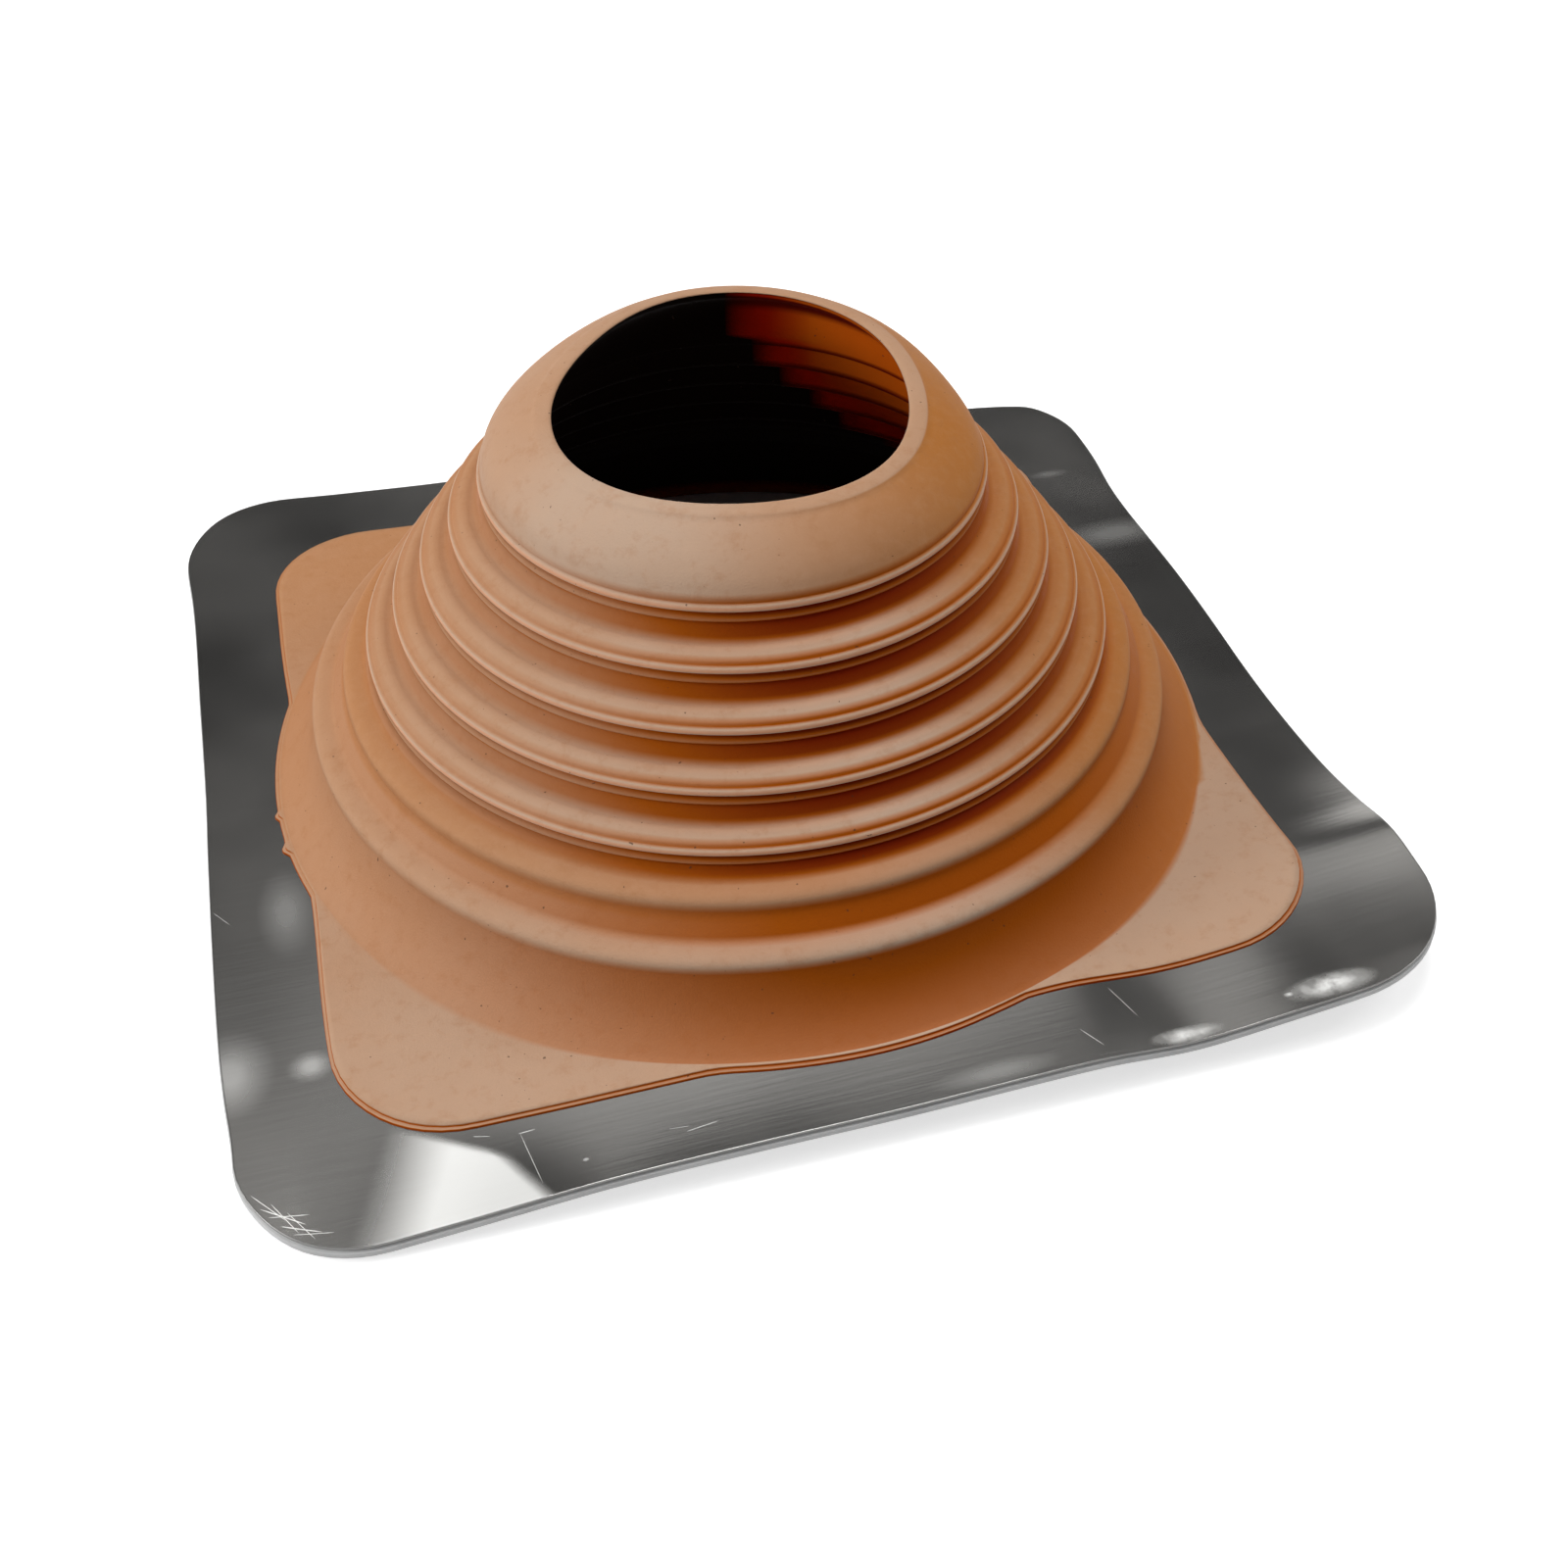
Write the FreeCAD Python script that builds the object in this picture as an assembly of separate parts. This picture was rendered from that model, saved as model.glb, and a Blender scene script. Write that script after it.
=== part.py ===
"""Pipe flashing boot: a stepped rubber cone on a square aluminium flange with a sealing gasket.

Millimetres, +Z up along the pipe. The origin is on the pipe's axis, in the plane that meets
the roof. The square's sides run along X and Y.
"""
import FreeCAD, Part
import os

# Square base: aluminium sheet over a gasket, both with one round hole
base_side = 356.0
base_corner = 40.0
gasket_thickness = 3.6
gasket_chamfer = 1.0
sheet_thickness = 1.0
sheet_inset = 0.5

# Sealing grooves under the gasket, which leave flat ribs between them
rib_groove_count = 2
rib_groove_width = 4.0
rib_groove_depth = 0.8
rib_groove_pitch = 9.0
rib_margin = 8.0

# Rubber flange: a rounded square with a round bulge at the middle of each side
flange_side = 294.0
flange_corner = 33.0
flange_thickness = 1.8
land_width = 1.6
land_thickness = 0.9
bulge_land = 1.5

# Sleeve that holds the edges of the sheet and the gasket
sleeve_wall = 2.8
sleeve_clearance = 0.2
sleeve_lift = 0.6

# Rubber cone: heights are over the sheet's top face, radii are of the outer surface
wall = 3.0
opening_radius = 55.0
rim_width = 4.5
rim_height = 125.4
rim_chamfer = 0.9
dome_bulge = 2.8

# Trim beads: one tier for each pipe size
tier_count = 5
first_bead_radius = 76.7
first_bead_height = 102.9
tier_step_out = 10.2
tier_step_down = 13.2

# A tier's double bead: a bead with a flat face, a groove, and a sharp lip under it
bead_depth = 1.0
bead_face = 1.0
bead_bevel = 0.5
groove_depth = 1.3
lip_spacing = 4.2
lip_setback = 0.4

# A tier's recess under the lip, and the bulging shelf that runs out to the next bead
shoulder_drop = 9.3
shoulder_setback = 9.0
shelf_gap = 1.2
shelf_bulge = 1.3

# The ledge that each tier leaves inside
inner_setback = 4.6
inner_drop = 1.5
inner_riser = 8.1
inner_flare = 1.0

# Plain rolls between the last bead and the skirt
roll_count = 2
first_roll_out = 8.9
first_roll_down = 10.9
roll_step_out = 11.9
roll_step_down = 13.0
roll_shelf = 8.2
roll_fall = 3.2
roll_edge = 1.5

# Skirt that flares out to the flange and laps over the edge of the hole
skirt_flare = 14.6
skirt_hollow = 2.6
skirt_lap = 6.9

sheet_top = gasket_thickness + sheet_thickness
flange_top = sheet_top + flange_thickness
rim_top = sheet_top + rim_height
last_bead_radius = first_bead_radius + (tier_count - 1) * tier_step_out
last_roll_radius = last_bead_radius + first_roll_out + (roll_count - 1) * roll_step_out
skirt_radius = last_roll_radius + skirt_flare
hole_radius = skirt_radius - skirt_lap


def point(radius, height):
    """A point of a half section, in the XZ plane."""
    return FreeCAD.Vector(radius, 0, height)


class Outline:
    """A half section, drawn from point to point."""

    def __init__(self, start):
        self.here = start
        self.edges = []

    def line_to(self, *points):
        for end in points:
            self.edges.append(Part.makeLine(self.here, end))
            self.here = end

    def arc_to(self, end, bulge):
        """An arc that stands off its chord by bulge, to the left of the way."""
        chord = end - self.here
        side = FreeCAD.Vector(-chord.z, 0, chord.x).normalize()
        middle = (self.here + end) * 0.5 + side * bulge
        self.edges.append(Part.Arc(self.here, middle, end).toShape())
        self.here = end


def rounded_square(side, corner, height, low=0.0):
    """A solid square with rounded corners, from low up by height."""
    block = Part.makeBox(side, side, height, FreeCAD.Vector(-side / 2, -side / 2, low))
    upright = [edge for edge in block.Edges if edge.BoundBox.ZLength > height / 2]
    return block.makeFillet(corner, upright)


def disc(radius, height, low=0.0):
    return Part.makeCylinder(radius, height, FreeCAD.Vector(0, 0, low))


def bead_point(tier):
    """The middle of the flat face of a tier's trim bead."""
    radius = first_bead_radius + tier * tier_step_out
    return point(radius, sheet_top + first_bead_height - tier * tier_step_down)


def roll_point(roll):
    """The outermost point of a plain roll."""
    last = bead_point(tier_count - 1)
    radius = last.x + first_roll_out + roll * roll_step_out
    return point(radius, last.z - first_roll_down - roll * roll_step_down)


def trim(bead):
    """The double bead, from the top of the bead down to the lip's sharp edge."""
    half = bead_face / 2
    lip = bead + point(-lip_setback, -lip_spacing)
    groove = (bead + lip) * 0.5 + point(-groove_depth, 0)
    top = bead + point(-bead_depth, half + bead_bevel)
    return [top, bead + point(0, half), bead + point(0, -half), groove, lip]


def draw_outside(outline):
    """From the rim's inner edge down to the skirt's foot on the flange."""
    rim_outer = opening_radius + rim_width
    outline.line_to(point(rim_outer - rim_chamfer, rim_top))
    outline.line_to(point(rim_outer, rim_top - rim_chamfer))
    double_bead = trim(bead_point(0))
    outline.arc_to(double_bead[0], dome_bulge)
    outline.line_to(*double_bead[1:])
    for tier in range(1, tier_count):
        bead = bead_point(tier)
        outline.line_to(bead + point(-shoulder_setback, tier_step_down - shoulder_drop))
        outline.arc_to(bead + point(-bead_depth - shelf_gap, bead_face / 2), shelf_bulge)
        outline.line_to(*trim(bead))
    for roll in range(roll_count):
        edge = roll_point(roll)
        outline.line_to(edge + point(-roll_shelf, roll_fall))
        outline.line_to(edge + point(-roll_edge, roll_edge))
        outline.line_to(edge)
        outline.line_to(edge + point(0, -roll_edge))
    outline.arc_to(point(skirt_radius, flange_top), -skirt_hollow)


def draw_foot(outline):
    """Under the skirt, round the sleeve, and back up to the flange's height."""
    sleeve_outer = hole_radius - sleeve_clearance
    sleeve_inner = sleeve_outer - sleeve_wall
    outline.line_to(point(skirt_radius, sheet_top), point(sleeve_outer, sheet_top))
    outline.line_to(point(sleeve_outer, sleeve_lift), point(sleeve_inner, sleeve_lift))
    outline.line_to(point(sleeve_inner, flange_top), point(skirt_radius - wall, flange_top))


def draw_inside(outline):
    """From the skirt's foot up to the rim, with a ledge inside each roll and tier."""
    for roll in reversed(range(roll_count)):
        knee = roll_point(roll) + point(-wall, -roll_edge)
        outline.line_to(knee, knee + point(-roll_shelf, roll_fall + roll_edge))
    for tier in reversed(range(1, tier_count)):
        riser = bead_point(tier - 1) + point(-inner_setback + inner_flare, -inner_drop - inner_riser)
        outline.line_to(bead_point(tier) + point(-inner_setback, -inner_drop), riser)
    outline.line_to(bead_point(0) + point(-inner_setback, -inner_drop))
    outline.arc_to(point(opening_radius, rim_top), -dome_bulge)


def rubber_cone():
    outline = Outline(point(opening_radius, rim_top))
    draw_outside(outline)
    draw_foot(outline)
    draw_inside(outline)
    section = Part.Face(Part.Wire(outline.edges))
    return section.revolve(FreeCAD.Vector(0, 0, 0), FreeCAD.Vector(0, 0, 1), 360)


def flange_layer(inset, thickness):
    """The rubber flange's plan, drawn in by inset and raised from the sheet by thickness."""
    square = rounded_square(flange_side - 2 * inset, flange_corner - inset, thickness, sheet_top)
    return square.fuse(disc(skirt_radius + bulge_land - inset, thickness, sheet_top))


def rubber_boot():
    """One moulding: cone, flange with a thin land round its edge, and sleeve."""
    flange = flange_layer(0, land_thickness).fuse(flange_layer(land_width, flange_thickness))
    flange = flange.cut(disc(skirt_radius - wall, flange_thickness, sheet_top))
    return rubber_cone().fuse(flange).removeSplitter()


def aluminium_flange():
    corner = base_corner - sheet_inset
    sheet = rounded_square(base_side - 2 * sheet_inset, corner, sheet_thickness, gasket_thickness)
    return sheet.cut(disc(hole_radius, sheet_thickness, gasket_thickness))


def base_gasket():
    gasket = rounded_square(base_side, base_corner, gasket_thickness)
    rim = [edge for edge in gasket.Edges if edge.BoundBox.ZMax < gasket_thickness / 2]
    gasket = gasket.makeChamfer(gasket_chamfer, rim)
    for groove in range(rib_groove_count):
        inset = rib_margin + groove * rib_groove_pitch
        outer = rounded_square(base_side - 2 * inset, base_corner - inset, rib_groove_depth)
        inset = inset + rib_groove_width
        inner = rounded_square(base_side - 2 * inset, base_corner - inset, rib_groove_depth)
        gasket = gasket.cut(outer.cut(inner))
    return gasket.cut(disc(hole_radius, gasket_thickness))


os.makedirs("parts", exist_ok=True)
rubber_boot().exportStep("parts/rubber_boot.step")
aluminium_flange().exportStep("parts/aluminium_flange.step")
base_gasket().exportStep("parts/base_gasket.step")
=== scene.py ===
"""Pipe flashing boot, dressed for the photograph's view.

Sizes are millimetres in the CAD's frame and become metres when a mesh is made. The boot, the
sheet and the gasket are drawn again with finer beads, and they share one bend: the base is
curled up along its front edge and at one corner, and the soft mouth leans and is out of round.
"""

from math import cos, degrees, exp, floor, hypot, radians, sin, sqrt

import bpy
from mathutils import Euler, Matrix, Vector


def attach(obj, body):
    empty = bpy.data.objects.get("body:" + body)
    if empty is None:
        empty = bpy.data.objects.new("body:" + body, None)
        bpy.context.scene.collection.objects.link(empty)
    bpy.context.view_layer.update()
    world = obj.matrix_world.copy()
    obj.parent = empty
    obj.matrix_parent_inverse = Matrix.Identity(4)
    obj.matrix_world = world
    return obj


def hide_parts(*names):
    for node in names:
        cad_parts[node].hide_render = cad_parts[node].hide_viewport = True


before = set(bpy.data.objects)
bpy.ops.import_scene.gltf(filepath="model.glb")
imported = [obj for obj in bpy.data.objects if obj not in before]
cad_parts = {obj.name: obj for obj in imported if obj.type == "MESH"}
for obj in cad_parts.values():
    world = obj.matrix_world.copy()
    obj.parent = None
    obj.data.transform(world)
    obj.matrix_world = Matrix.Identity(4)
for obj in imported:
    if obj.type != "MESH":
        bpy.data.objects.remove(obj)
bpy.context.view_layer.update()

MM = 0.001

# Square base
base_side = 356.0
base_corner = 40.0
gasket_thickness = 3.6
gasket_chamfer = 1.0
sheet_thickness = 1.0
sheet_inset = 0.5
sheet_bevel = 0.15
hole_radius = 146.0
rib_groove_count = 2
rib_margin = 8.0
rib_groove_pitch = 9.0
rib_groove_width = 4.0
rib_groove_depth = 0.8

# Rubber flange
flange_side = 296.0
flange_corner = 37.0
flange_thickness = 1.8
land_width = 1.6
land_thickness = 0.9
bulge_land = 1.5
bulge_fillet = 1.6
sleeve_wall = 2.8
sleeve_clearance = 0.2
sleeve_lift = 0.6

# Rubber cone
wall = 3.0
opening_radius = 55.0
rim_height = 125.4
rim_width = 5.6
dome_bulge = 3.0
tier_count = 5
first_bead_radius = 76.7
first_bead_height = 102.9
tier_step_out = 10.2
tier_step_down = 13.2
lip_spacing = 4.2
lip_setback = 0.4
shoulder_drop = 9.3
shoulder_setback = 9.0
shelf_bulge = 0.55
roll_count = 2
first_roll_out = 8.9
first_roll_down = 10.9
roll_step_out = 11.9
roll_step_down = 13.0
roll_shelf = 8.2
roll_fall = 3.2
skirt_radius = 152.9
skirt_hollow = 2.6

sheet_top = gasket_thickness + sheet_thickness
flange_top = sheet_top + flange_thickness
land_top = sheet_top + land_thickness
rim_top = sheet_top + rim_height
sleeve_outer = hole_radius - sleeve_clearance
sleeve_inner = sleeve_outer - sleeve_wall

# Past this radius the rubber is flange
flange_start = skirt_radius + 1

# Directions round the pipe's axis that every ring of a mesh has
boot_turns = 264
layer_turns = 400


# Bends


def rise(value, low, high):
    """0 up to low, then a smooth climb to 1 at high."""
    share = min(max((value - low) / (high - low), 0.0), 1.0)
    return share * share * (3.0 - 2.0 * share)


def slope_at(stations, index):
    before = stations[max(index - 1, 0)]
    after = stations[min(index + 1, len(stations) - 1)]
    return (after[1] - before[1]) / (after[0] - before[0])


def follow(stations, place):
    """A smooth curve through (place, value) stations, level beyond both ends."""
    place = min(max(place, stations[0][0]), stations[-1][0])
    index = max(i for i in range(len(stations) - 1) if stations[i][0] <= place)
    (low, before), (high, after) = stations[index], stations[index + 1]
    step = high - low
    t = (place - low) / step
    climb = t * t * (3.0 - 2.0 * t)
    leave = slope_at(stations, index) * step * t * (1.0 - t) ** 2
    arrive = slope_at(stations, index + 1) * step * t * t * (1.0 - t)
    return before + (after - before) * climb + leave - arrive


# How high the front edge stands, from left to right: (x, lift)
front_lift = [
    (-160.0, 0.0), (-140.0, 1.3), (-118.0, 3.0), (-80.0, 6.2), (-40.0, 7.2), (0.0, 7.4),
    (40.0, 8.6), (60.0, 8.9), (86.0, 7.6), (118.0, 10.8), (138.0, 12.2), (178.0, 15.5),
]

# Where that bend starts: it runs slantwise, deeper into the sheet at the right
bend_start_middle = 91.0
bend_start_slant = 0.23

# How far the bend draws the edge in, against the lift squared over the bend's length
bend_shortening = 0.67

# What the right edge stands higher than that bend: (y, lift)
side_lift = [(-165.0, 0.8), (-140.0, 4.2), (-118.0, 6.8), (-99.0, 4.0), (-79.0, 1.6), (-55.0, 0.0)]
side_lift_start = 90.0

# The back left corner stands off the roof a little: how much, and how far from the corner
back_corner_lift = 3.4
back_corner_reach = 62.0

# How far the raised corner is drawn in, and the values of x - y over which that sets in
corner_pull = 2.4
corner_pull_span = (290, 345)

# How far the other edges stray inward: (x or y, inward)
back_bow = [
    (-178.0, 0.0), (-138.0, 1.2), (-118.0, 2.6), (-79.0, 5.4), (-60.0, 5.2), (60.0, 5.2), (110.0, 6.6),
    (136.0, 9.8), (149.0, 9.8), (159.0, 7.4), (168.0, 3.4), (178.0, 1.2),
]
left_bow = [
    (-172.0, 0.6), (-160.0, 1.4), (-146.0, 1.4), (-136.0, 1.7), (-118.0, 0.5), (-99.0, -0.2),
    (-60.0, -0.3), (-20.0, 0.1), (10.0, 0.6), (60.0, 0.5), (99.0, 0.5), (118.0, 0.1), (138.0, -0.8),
    (160.0, -0.3),
]
right_bow = [
    (-55.0, 0.2), (-38.0, 0.8), (-20.0, 0.8), (0.0, 0.3), (20.0, 0.0), (39.0, 0.1), (59.0, 0.8),
    (79.0, 1.5), (96.0, 1.3), (118.0, -0.6), (138.0, -0.8), (158.0, 0.3),
]

# How far from the middle that stray starts at the back and at the sides, and the radii over
# which it sets in, so that the cone stays round
back_bow_start = 60
side_bow_start = 120
bow_span = (152, 175)


def bend(x, y):
    """Where a point of the flat base goes: (x, y, lift)."""
    edge = base_side / 2
    start = bend_start_middle - bend_start_slant * x
    share = min(max((-y - start) / (edge - start), 0.0), 1.0)
    front = follow(front_lift, x) * share * share
    side = follow(side_lift, y) * max((x - side_lift_start) / (edge - side_lift_start), 0.0) ** 2
    corner = corner_pull * rise(x - y, *corner_pull_span) / sqrt(2)
    drawn_in = bend_shortening * front * front / (edge - start)
    margin = rise(hypot(x, y), *bow_span)
    back = follow(back_bow, x) * rise(y, back_bow_start, edge) * margin
    from_left = follow(left_bow, y) * rise(-x, side_bow_start, edge)
    from_right = follow(right_bow, y) * rise(x, side_bow_start, edge)
    aside = (from_left - from_right) * margin
    far = hypot(x + edge, y - edge) / back_corner_reach
    lifted = back_corner_lift * (1.0 - min(far, 1.0)) ** 2
    return x - corner + aside, y + corner + drawn_in - back, front + side + lifted


# The mouth: how its inner edge leaves the true circle
mouth_shrink = 0.4
mouth_lean = 3.7
mouth_lean_toward = 130.0
mouth_drop = 2.0

# Waves in the mouth's edge: how many round it, then the cosine and sine shares of its way
# outward, and those of its way upward
mouth_waves = [
    (1, 2.8, 2.2, 0.0, 0.0),
    (2, -1.1, 4.0, -0.4, -1.5),
    (3, -2.6, -0.9, 0.4, 0.4),
]

# The dome between the mouth and the first bead sways to one side
dome_sway = 0.9
dome_sway_toward = 150.0


def mouth_shift(angle):
    """(outward, up) that the mouth's edge is out of true in a direction."""
    outward = -mouth_shrink
    up = -mouth_drop + mouth_lean * cos(angle - radians(mouth_lean_toward))
    for count, cos_out, sin_out, cos_up, sin_up in mouth_waves:
        outward += cos_out * cos(count * angle) + sin_out * sin(count * angle)
        up += cos_up * cos(count * angle) + sin_up * sin(count * angle)
    return outward, up


# Half sections


class Section:
    """A half section of (radius, height, shade) points, drawn from point to point.

    Shade says how much painted shade a point gets in its recess: 0 in the open, 1 in the deepest
    groove, and below 0, on the crest of a bead, a painted highlight.
    """

    def __init__(self, radius, height, shade=0.0):
        self.points = [(radius, height, shade)]

    def line_to(self, radius, height, shade=0.0, steps=1):
        r0, z0, s0 = self.points[-1]
        for step in range(1, steps + 1):
            t = step / steps
            self.points.append((r0 + (radius - r0) * t, z0 + (height - z0) * t, s0 + (shade - s0) * t))

    def bend_to(self, through, radius, height, shade=0.0, steps=6):
        """A quadratic curve whose corner is at through."""
        r0, z0, s0 = self.points[-1]
        for step in range(1, steps + 1):
            t = step / steps
            a, b, c = (1 - t) ** 2, 2 * t * (1 - t), t * t
            self.points.append((
                a * r0 + b * through[0] + c * radius,
                a * z0 + b * through[1] + c * height,
                s0 + (shade - s0) * t,
            ))

    def bow_to(self, radius, height, bulge, shade=0.0, steps=10):
        """A shallow arc that stands off its chord by bulge, to the left of the way."""
        r0, z0, s0 = self.points[-1]
        length = hypot(radius - r0, height - z0)
        side_r, side_z = -(height - z0) / length, (radius - r0) / length
        for step in range(1, steps + 1):
            t = step / steps
            off = bulge * 4 * t * (1 - t)
            self.points.append((
                r0 + (radius - r0) * t + side_r * off,
                z0 + (height - z0) * t + side_z * off,
                s0 + (shade - s0) * t,
            ))


# Painted shade at the places that a section passes
crest_shade = -1.0
valley_shade = 0.6
heel_shade = 0.8
lip_shade = 0.35
skirt_shade = 0.55
skirt_foot_shade = 0.36
roll_heel_shades = (0.85, 0.55)


def bead_place(tier):
    return (
        first_bead_radius + tier * tier_step_out,
        sheet_top + first_bead_height - tier * tier_step_down,
    )


def roll_place(roll):
    radius, height = bead_place(tier_count - 1)
    return radius + first_roll_out + roll * roll_step_out, height - first_roll_down - roll * roll_step_down


def draw_double_bead(section, radius, height):
    """From the valley over a bead: the bead, a groove, the lip, and the undercut below it."""
    section.bend_to((radius - 0.1, height + 1.3), radius, height + 0.3, crest_shade, 4)
    section.bend_to((radius, height - 0.8), radius - 0.8, height - 1.0, 0.6, 4)
    section.line_to(radius - 2.0, height - 1.6, 1.0)
    section.line_to(radius - 2.0, height - 2.2, 1.0)
    lip_radius, lip_height = radius - lip_setback, height - lip_spacing
    section.bend_to((lip_radius - 0.1, lip_height + 1.9), lip_radius, lip_height + 0.6, lip_shade, 4)
    section.bend_to((lip_radius, lip_height), lip_radius - 0.5, lip_height - 0.2, 0.9, 3)
    section.line_to(lip_radius - 1.5, lip_height - 0.4, 1.0)


def draw_rim_and_dome(section):
    """From the rim's inner edge down to the first bead's undercut."""
    rim_outer = opening_radius + rim_width
    section.bend_to((opening_radius + 0.2, rim_top - 0.1), opening_radius + 1.0, rim_top, 0.0, 3)
    section.line_to(rim_outer - 0.8, rim_top - 0.5, 0.0, 3)
    section.bend_to((rim_outer, rim_top - 0.7), rim_outer + 0.5, rim_top - 1.4, 0.0, 3)
    radius, height = bead_place(0)
    section.bow_to(radius - 1.6, height + 4.4, dome_bulge, 0.0, 16)
    section.bend_to((radius - 1.0, height + 2.9), radius - 1.3, height + 1.6, 0.55, 4)
    draw_double_bead(section, radius, height)


def draw_tier(section, tier):
    """The recess under the last lip, the shelf that bulges out of it, and the next bead."""
    last_lip_height = section.points[-1][1]
    radius, height = bead_place(tier)
    heel, level = radius - shoulder_setback, height + tier_step_down - shoulder_drop
    section.bend_to((heel - 1.3, last_lip_height - 1.0), heel - 0.5, level + 1.2, heel_shade, 6)
    section.bend_to((heel - 0.1, level + 0.1), heel + 1.5, level - 0.1, 0.15, 4)
    section.bow_to(radius - 3.4, height + 3.3, shelf_bulge, 0.0, 5)
    section.line_to(radius - 2.6, height + 2.8, 0.2)
    section.bend_to((radius - 1.4, height + 2.6), radius - 1.4, height + 1.5, valley_shade, 3)
    draw_double_bead(section, radius, height)


def draw_roll(section, roll):
    """The recess over a plain roll, its shelf and its round edge."""
    radius, height = roll_place(roll)
    heel, level = radius - roll_shelf, height + roll_fall
    section.bend_to((heel - 0.6, level + 2.6), heel + 0.3, level + 1.3, roll_heel_shades[roll], 6)
    section.bend_to((heel + 0.8, level - 0.1), heel + 3.2, level - 0.3, 0.1, 4)
    section.bend_to((radius - 0.6, height + 2.2), radius, height, 0.0, 7)
    section.bend_to((radius + 0.3, height - 1.6), radius - 0.1, height - 3.0, skirt_shade, 4)


def outside_points():
    """The outside, from the rim's inner edge down to the skirt's foot."""
    section = Section(opening_radius, rim_top - 0.5)
    draw_rim_and_dome(section)
    for tier in range(1, tier_count):
        draw_tier(section, tier)
    for roll in range(roll_count):
        draw_roll(section, roll)
    section.bow_to(skirt_radius, flange_top, -skirt_hollow, skirt_foot_shade, 14)
    return section.points


def inside_points():
    """The inside, from the sleeve up to the rim, with a ledge inside each roll and tier."""
    section = Section(sleeve_inner, flange_top, 1.0)
    for roll in reversed(range(roll_count)):
        radius, height = roll_place(roll)
        section.line_to(radius - wall, height - 1.5, 0.2)
        knee = radius - wall - 1, height + 1.4
        section.bend_to(knee, radius - wall - roll_shelf, height + roll_fall, 1.0, 3)
    for tier in reversed(range(1, tier_count)):
        radius, height = bead_place(tier)
        section.bend_to((radius - 5.0, height - 3.2), radius - 4.6, height - 1.8, 0.0, 3)
        section.bend_to((radius - 4.9, height - 0.8), radius - 6.4, height - 0.4, 0.6, 3)
        section.bend_to((radius - 11.6, height + 0.4), radius - 13.5, height + 3.2, 1.0, 3)
        section.line_to(radius - 13.5, height + 4.0, 0.7)
        section.line_to(radius - 13.6, height + 5.0, 0.0)
    radius, height = bead_place(0)
    section.line_to(radius - 4.6, height - 2.6, 0.0, 2)
    section.bend_to((radius - 4.7, height - 1.8), radius - 6.0, height - 1.4, 1.0, 3)
    section.line_to(radius - 6.1, height - 0.6, 0.8)
    section.line_to(radius - 6.3, height + 0.4, 0.0)
    section.bow_to(opening_radius + 1.6, rim_top - 3.0, -dome_bulge, 0.0, 12)
    section.bend_to((opening_radius, rim_top - 1.6), opening_radius, rim_top - 0.5, 0.0, 3)
    return section.points


# Plans


def square_reach(angle, side, corner):
    """How far a rounded square reaches in a direction from its centre."""
    across, along = sorted((abs(cos(angle)), abs(sin(angle))), reverse=True)
    half = side / 2
    core = half - corner
    if half * along / across <= core:
        return half / across
    spread = core * (across + along)
    return spread + sqrt(spread * spread - 2 * core * core + corner * corner)


def softer_of(a, b, blend):
    """The larger of two reaches, with the inner corner between them filled."""
    share = max(blend - abs(a - b), 0.0) / blend
    return max(a, b) + share * share * blend / 4


# Two nubs of moulding flash on the left bulge: direction, half width in degrees, and length
nubs = [(183.0, 0.7, 1.6), (189.0, 0.9, 2.0)]

# Where a nub has directions of its own, in half widths from its middle
nub_turns = (-2.1, -1.3, -0.7, -0.25, 0.25, 0.7, 1.3, 2.1)

# How far the soft flange's edge is out of true: (direction in degrees, outward)
flange_waves = [
    (0.0, -0.4), (12.0, -1.6), (28.0, -2.4), (45.0, -0.4), (70.0, 0.0), (130.0, -0.6), (150.0, 0.4),
    (160.0, -0.4), (168.0, -1.6), (176.0, -0.8), (186.0, 0.3), (200.0, -0.4), (215.0, 0.3), (228.0, -0.5),
    (241.0, 0.8), (262.0, 0.8), (280.0, 0.8), (292.0, -0.8), (303.0, 1.0), (315.0, -0.5), (330.0, 1.0),
    (345.0, 0.8), (360.0, -0.4),
]


def flange_reach(angle):
    """How far the flange's thick part reaches in a direction, inside its land."""
    square = square_reach(angle, flange_side - 2 * land_width, flange_corner - land_width)
    turn = degrees(angle) % 360
    flash = sum(length * exp(-(((turn - place) / width) ** 2)) for place, width, length in nubs)
    plan = softer_of(square, skirt_radius + bulge_land - land_width, bulge_fillet)
    return plan + flash + follow(flange_waves, turn)


# Tones of the boot, painted shade and painted light among them, kept on its mesh

# How strongly the painted shade shows in the rubber's recesses, by direction in degrees: weak on
# the left, where the lamps light the recesses
painted_shade_by_direction = [
    (0.0, 0.3), (90.0, 0.4), (180.0, 0.15), (200.0, 0.15), (215.0, 0.2), (230.0, 0.35), (245.0, 0.6),
    (257.0, 0.85), (270.0, 1.0), (285.0, 1.0), (300.0, 0.95), (315.0, 0.78), (330.0, 0.6), (345.0, 0.48),
    (360.0, 0.3),
]

# Beyond which shade a recess is a sharp groove, and the least painted shade it has there: a painted
# dark line in the grooves and along the flange's edge
cone_groove = (0.95, 0.35)
flange_groove = (0.75, 0.8)

# How far painted shade of full depth clears the painted light from a recess, against the painted
# shade's strength there, and the power with which that painted light fades
shade_clears_light = 1.6
painted_light_fade = 1.2
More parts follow.
